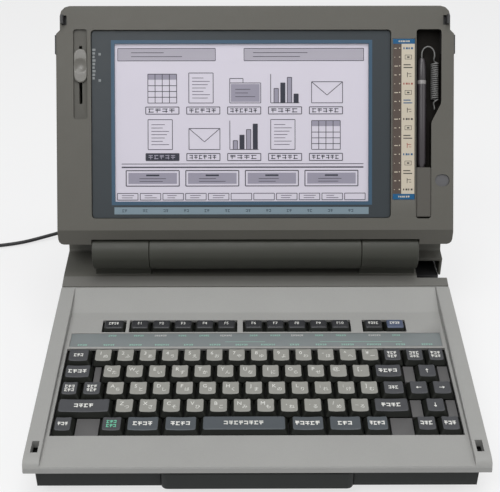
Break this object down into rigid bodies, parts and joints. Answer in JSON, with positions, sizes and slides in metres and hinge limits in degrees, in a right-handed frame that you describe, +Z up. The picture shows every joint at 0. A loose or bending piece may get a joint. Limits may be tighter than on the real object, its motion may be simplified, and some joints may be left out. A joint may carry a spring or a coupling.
{
  "type": "electronic word processor",
  "caption": "Portable word processor: sloped keyboard, lid with screen and tethered pen on a barrel hinge, disk drive at the side and a printer under a cover behind.",
  "frame": {"origin": "on the table, at the middle of the machine's box without its cord", "axes": "+X to the user's right, +Y to the back, +Z up"},
  "size_m": [0.5378, 0.4095, 0.2947],
  "materials": {
    "lid_grey": "fine texture",
    "deck_grey": "fine texture",
    "dark_grey": "fine texture",
    "light_key": "fine texture",
    "dark_key": "fine texture",
    "black_plastic": "fine texture",
    "steel": "plated",
    "rubber": "matt",
    "window": "smooth",
    "screen": "smooth",
    "strip": "printed",
    "board": "lacquered",
    "cord": "matt"
  },
  "bodies": {
    "base": {"bottom_case": "dark_grey", "foot_front_left": "rubber", "foot_back_left": "rubber", "foot_front_right": "rubber", "foot_back_right": "rubber", "keyboard_housing": "deck_grey", "legend_panel": "window", "key_plate": "light_key", "printer_housing": "lid_grey", "hinge_pin_left": "steel", "hinge_pin_right": "steel", "floppy_drive": "dark_grey", "circuit_board": "board", "power_supply": "steel", "printer_chassis": "steel", "carriage_rod": "steel", "power_inlet": "black_plastic", "lead_connector": "black_plastic", "power_lead": "cord", "lead_coil": "cord", "lead_plug": "black_plastic"},
    "lid": {"lid_shell": "lid_grey", "lid_bezel": "lid_grey", "hinge_barrel": "lid_grey", "screen_window": "window", "lcd_panel": "screen", "lcd_backlight": "screen", "menu_strip": "strip", "pen_holder": "dark_grey", "pen_cord": "cord"},
    "pen_body": {"pen": "dark_grey"},
    "slider": {"contrast_slider": "dark_grey"},
    "latch_l": {"latch_left": "dark_grey"},
    "latch_r": {"latch_right": "dark_grey"},
    "platen": {"platen_roller": "rubber", "platen_knob": "black_plastic"},
    "carriage": {"print_carriage": "dark_grey", "ribbon_cassette": "black_plastic"},
    "cover": {"printer_cover": "lid_grey", "paper_guide": "lid_grey"},
    "eject": {"disk_eject_button": "black_plastic"},
    "switch": {"power_switch": "black_plastic"},
    "handle": {"carry_handle": "dark_grey"},
    "key_tab_body": {"key_tab": "dark_key"},
    "key_return_body": {"key_return": "dark_key"},
    "key_shift_left_body": {"key_shift_left": "dark_key"},
    "key_shift_right_body": {"key_shift_right": "dark_key"},
    "key_up_body": {"key_up": "dark_key"},
    "key_left_body": {"key_left": "dark_key"},
    "key_right_body": {"key_right": "dark_key"},
    "key_down_body": {"key_down": "dark_key"},
    "key_mode_body": {"key_mode": "dark_key"},
    "key_word_body": {"key_word": "dark_key"},
    "key_space_body": {"key_space": "light_key"},
    "key_convert_body": {"key_convert": "light_key"},
    "key_next_body": {"key_next": "dark_key"},
    "key_menu_body": {"key_menu": "dark_key"},
    "key_cancel_body": {"key_cancel": "dark_key"},
    "key_run_body": {"key_run": "dark_key"}
  },
  "joints": [
    {"name": "lid_hinge", "type": "hinge", "parent": "base", "child": "lid", "pos_m": [0, 0.0448, 0.0946], "axis": [1, 0, 0], "range_deg": [-6, 128.1]},
    {"name": "pen_lift", "type": "slide", "parent": "lid", "child": "pen_body", "axis": [0, 0.515, 0.8572], "range_m": [0, 0.02]},
    {"name": "contrast_slide", "type": "slide", "parent": "lid", "child": "slider", "axis": [0, 0.515, 0.8572], "range_m": [-0.029, 0.014]},
    {"name": "latch_left_press", "type": "slide", "parent": "lid", "child": "latch_l", "axis": [1, 0, 0], "range_m": [0, 0.002], "stiffness_N_per_m": 800},
    {"name": "latch_right_press", "type": "slide", "parent": "lid", "child": "latch_r", "axis": [-1, 0, 0], "range_m": [0, 0.002], "stiffness_N_per_m": 800},
    {"name": "platen_turn", "type": "hinge", "parent": "base", "child": "platen", "pos_m": [0, 0.135, 0.082], "axis": [1, 0, 0], "continuous": true},
    {"name": "carriage_slide", "type": "slide", "parent": "base", "child": "carriage", "axis": [1, 0, 0], "range_m": [-0.082, 0.082]},
    {"name": "cover_hinge", "type": "hinge", "parent": "base", "child": "cover", "pos_m": [0, 0.1575, 0.1049], "axis": [-1, 0, 0], "range_deg": [0, 75]},
    {"name": "eject_press", "type": "slide", "parent": "base", "child": "eject", "axis": [-1, 0, 0], "range_m": [0, 0.004], "stiffness_N_per_m": 500},
    {"name": "switch_slide", "type": "slide", "parent": "base", "child": "switch", "axis": [0, 1, 0], "range_m": [0, 0.005]},
    {"name": "handle_pull", "type": "slide", "parent": "base", "child": "handle", "axis": [0, -1, 0], "range_m": [0, 0.03]},
    {"name": "key_tab_press", "type": "slide", "parent": "base", "child": "key_tab_body", "axis": [0, 0.1045, -0.9945], "range_m": [0, 0.003], "stiffness_N_per_m": 200},
    {"name": "key_return_press", "type": "slide", "parent": "base", "child": "key_return_body", "axis": [0, 0.1045, -0.9945], "range_m": [0, 0.003], "stiffness_N_per_m": 200},
    {"name": "key_shift_left_press", "type": "slide", "parent": "base", "child": "key_shift_left_body", "axis": [0, 0.1045, -0.9945], "range_m": [0, 0.003], "stiffness_N_per_m": 200},
    {"name": "key_shift_right_press", "type": "slide", "parent": "base", "child": "key_shift_right_body", "axis": [0, 0.1045, -0.9945], "range_m": [0, 0.003], "stiffness_N_per_m": 200},
    {"name": "key_up_press", "type": "slide", "parent": "base", "child": "key_up_body", "axis": [0, 0.1045, -0.9945], "range_m": [0, 0.003], "stiffness_N_per_m": 200},
    {"name": "key_left_press", "type": "slide", "parent": "base", "child": "key_left_body", "axis": [0, 0.1045, -0.9945], "range_m": [0, 0.003], "stiffness_N_per_m": 200},
    {"name": "key_right_press", "type": "slide", "parent": "base", "child": "key_right_body", "axis": [0, 0.1045, -0.9945], "range_m": [0, 0.003], "stiffness_N_per_m": 200},
    {"name": "key_down_press", "type": "slide", "parent": "base", "child": "key_down_body", "axis": [0, 0.1045, -0.9945], "range_m": [0, 0.003], "stiffness_N_per_m": 200},
    {"name": "key_mode_press", "type": "slide", "parent": "base", "child": "key_mode_body", "axis": [0, 0.1045, -0.9945], "range_m": [0, 0.003], "stiffness_N_per_m": 200},
    {"name": "key_word_press", "type": "slide", "parent": "base", "child": "key_word_body", "axis": [0, 0.1045, -0.9945], "range_m": [0, 0.003], "stiffness_N_per_m": 200},
    {"name": "key_space_press", "type": "slide", "parent": "base", "child": "key_space_body", "axis": [0, 0.1045, -0.9945], "range_m": [0, 0.003], "stiffness_N_per_m": 200},
    {"name": "key_convert_press", "type": "slide", "parent": "base", "child": "key_convert_body", "axis": [0, 0.1045, -0.9945], "range_m": [0, 0.003], "stiffness_N_per_m": 200},
    {"name": "key_next_press", "type": "slide", "parent": "base", "child": "key_next_body", "axis": [0, 0.1045, -0.9945], "range_m": [0, 0.003], "stiffness_N_per_m": 200},
    {"name": "key_menu_press", "type": "slide", "parent": "base", "child": "key_menu_body", "axis": [0, 0.1045, -0.9945], "range_m": [0, 0.003], "stiffness_N_per_m": 200},
    {"name": "key_cancel_press", "type": "slide", "parent": "base", "child": "key_cancel_body", "axis": [0, 0.1045, -0.9945], "range_m": [0, 0.003], "stiffness_N_per_m": 200},
    {"name": "key_run_press", "type": "slide", "parent": "base", "child": "key_run_body", "axis": [0, 0.1045, -0.9945], "range_m": [0, 0.003], "stiffness_N_per_m": 200}
  ]
}
